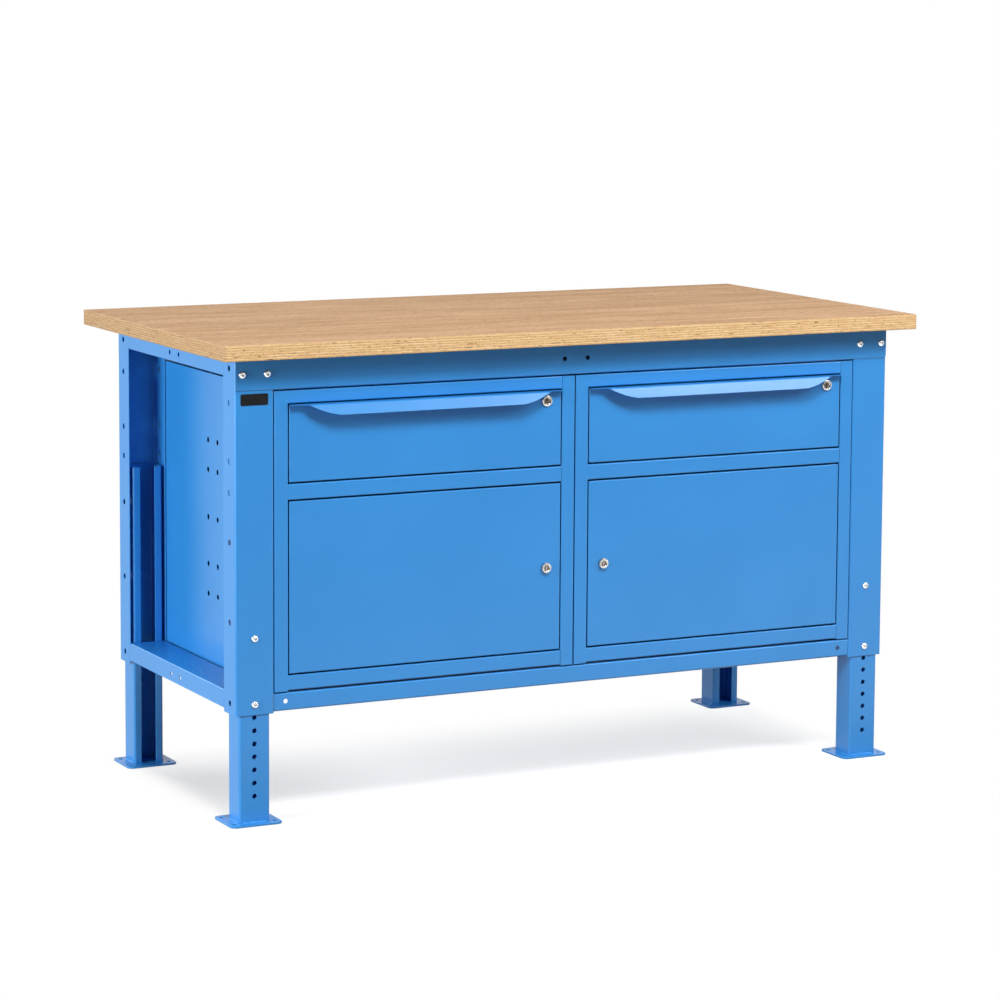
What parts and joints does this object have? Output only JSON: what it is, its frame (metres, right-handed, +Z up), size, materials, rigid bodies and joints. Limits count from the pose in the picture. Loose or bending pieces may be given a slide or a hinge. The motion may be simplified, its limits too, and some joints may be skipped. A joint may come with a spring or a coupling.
{
  "type": "workbench with cabinet doors",
  "caption": "Workshop bench with a plywood top on a blue steel frame with adjustable feet, carrying twin cabinets that each have a lockable drawer above a lockable hinged door.",
  "frame": {"origin": "on the floor, under the middle of the worktop", "axes": "+X along the bench to the right of someone facing the drawers, +Y to the rear, +Z up"},
  "size_m": [1.5, 0.75, 0.91],
  "materials": {
    "blue_coat": "satin powder coat on sheet steel",
    "plywood": "sanded and sealed beech plywood",
    "zinc": "bright zinc plate",
    "nickel": "polished nickel plate"
  },
  "bodies": {
    "frame": {"worktop": "plywood", "front_left_upright": "blue_coat", "front_right_upright": "blue_coat", "rear_left_upright": "blue_coat", "rear_right_upright": "blue_coat", "front_left_foot": "blue_coat", "front_right_foot": "blue_coat", "rear_left_foot": "blue_coat", "rear_right_foot": "blue_coat", "front_left_rail_bolts": "zinc", "front_right_rail_bolts": "zinc", "rear_left_rail_bolts": "zinc", "rear_right_rail_bolts": "zinc", "front_left_leg_bolts": "zinc", "front_right_leg_bolts": "zinc", "rear_left_leg_bolts": "zinc", "rear_right_leg_bolts": "zinc", "front_top_rail": "blue_coat", "rear_top_rail": "blue_coat", "front_lower_rail": "blue_coat", "rear_lower_rail": "blue_coat", "left_top_end_rail": "blue_coat", "right_top_end_rail": "blue_coat", "left_lower_end_rail": "blue_coat", "right_lower_end_rail": "blue_coat", "left_cabinet_shell": "blue_coat", "left_cabinet_top_rail": "blue_coat", "left_cabinet_middle_rail": "blue_coat", "left_cabinet_bottom_rail": "blue_coat", "right_cabinet_shell": "blue_coat", "right_cabinet_top_rail": "blue_coat", "right_cabinet_middle_rail": "blue_coat", "right_cabinet_bottom_rail": "blue_coat", "left_drawer_left_fixed_runner": "zinc", "left_drawer_right_fixed_runner": "zinc", "right_drawer_left_fixed_runner": "zinc", "right_drawer_right_fixed_runner": "zinc", "left_door_upper_hinge_pin": "zinc", "left_door_lower_hinge_pin": "zinc", "right_door_upper_hinge_pin": "zinc", "right_door_lower_hinge_pin": "zinc"},
    "left_drawer": {"left_drawer_front": "blue_coat", "left_drawer_tray": "blue_coat", "left_drawer_lock_housing": "nickel"},
    "right_drawer": {"right_drawer_front": "blue_coat", "right_drawer_tray": "blue_coat", "right_drawer_lock_housing": "nickel"},
    "left_middle_runners": {"left_drawer_left_middle_runner": "zinc", "left_drawer_right_middle_runner": "zinc"},
    "right_middle_runners": {"right_drawer_left_middle_runner": "zinc", "right_drawer_right_middle_runner": "zinc"},
    "left_door": {"left_door": "blue_coat", "left_door_lock_housing": "nickel"},
    "right_door": {"right_door": "blue_coat", "right_door_lock_housing": "nickel"},
    "left_drawer_lock": {"left_drawer_lock_plug": "nickel"},
    "right_drawer_lock": {"right_drawer_lock_plug": "nickel"},
    "left_door_lock": {"left_door_lock_plug": "nickel"},
    "right_door_lock": {"right_door_lock_plug": "nickel"}
  },
  "joints": [
    {"name": "left_drawer_slide", "type": "slide", "parent": "frame", "child": "left_drawer", "axis": [0, -1, 0], "range_m": [0, 0.45]},
    {"name": "right_drawer_slide", "type": "slide", "parent": "frame", "child": "right_drawer", "axis": [0, -1, 0], "range_m": [0, 0.45]},
    {"name": "left_runner_slide", "type": "slide", "parent": "frame", "child": "left_middle_runners", "axis": [0, -1, 0], "range_m": [0, 0.225]},
    {"name": "right_runner_slide", "type": "slide", "parent": "frame", "child": "right_middle_runners", "axis": [0, -1, 0], "range_m": [0, 0.225]},
    {"name": "left_door_hinge", "type": "hinge", "parent": "frame", "child": "left_door", "pos_m": [-0.59, -0.3185, 0.44435], "axis": [0, 0, -1], "range_deg": [0, 110]},
    {"name": "right_door_hinge", "type": "hinge", "parent": "frame", "child": "right_door", "pos_m": [0.59, -0.3185, 0.44435], "axis": [0, 0, 1], "range_deg": [0, 110]},
    {"name": "left_drawer_lock_turn", "type": "hinge", "parent": "left_drawer", "child": "left_drawer_lock", "pos_m": [-0.063, -0.325, 0.7699], "axis": [0, 1, 0], "range_deg": [0, 90]},
    {"name": "right_drawer_lock_turn", "type": "hinge", "parent": "right_drawer", "child": "right_drawer_lock", "pos_m": [0.57, -0.325, 0.7699], "axis": [0, 1, 0], "range_deg": [0, 90]},
    {"name": "left_door_lock_turn", "type": "hinge", "parent": "left_door", "child": "left_door_lock", "pos_m": [-0.063, -0.325, 0.44435], "axis": [0, -1, 0], "range_deg": [0, 90]},
    {"name": "right_door_lock_turn", "type": "hinge", "parent": "right_door", "child": "right_door_lock", "pos_m": [0.063, -0.325, 0.44435], "axis": [0, 1, 0], "range_deg": [0, 90]}
  ],
  "couplings": [
    {"joint": "left_runner_slide", "follows": "left_drawer_slide", "ratio": 0.5},
    {"joint": "right_runner_slide", "follows": "right_drawer_slide", "ratio": 0.5}
  ]
}
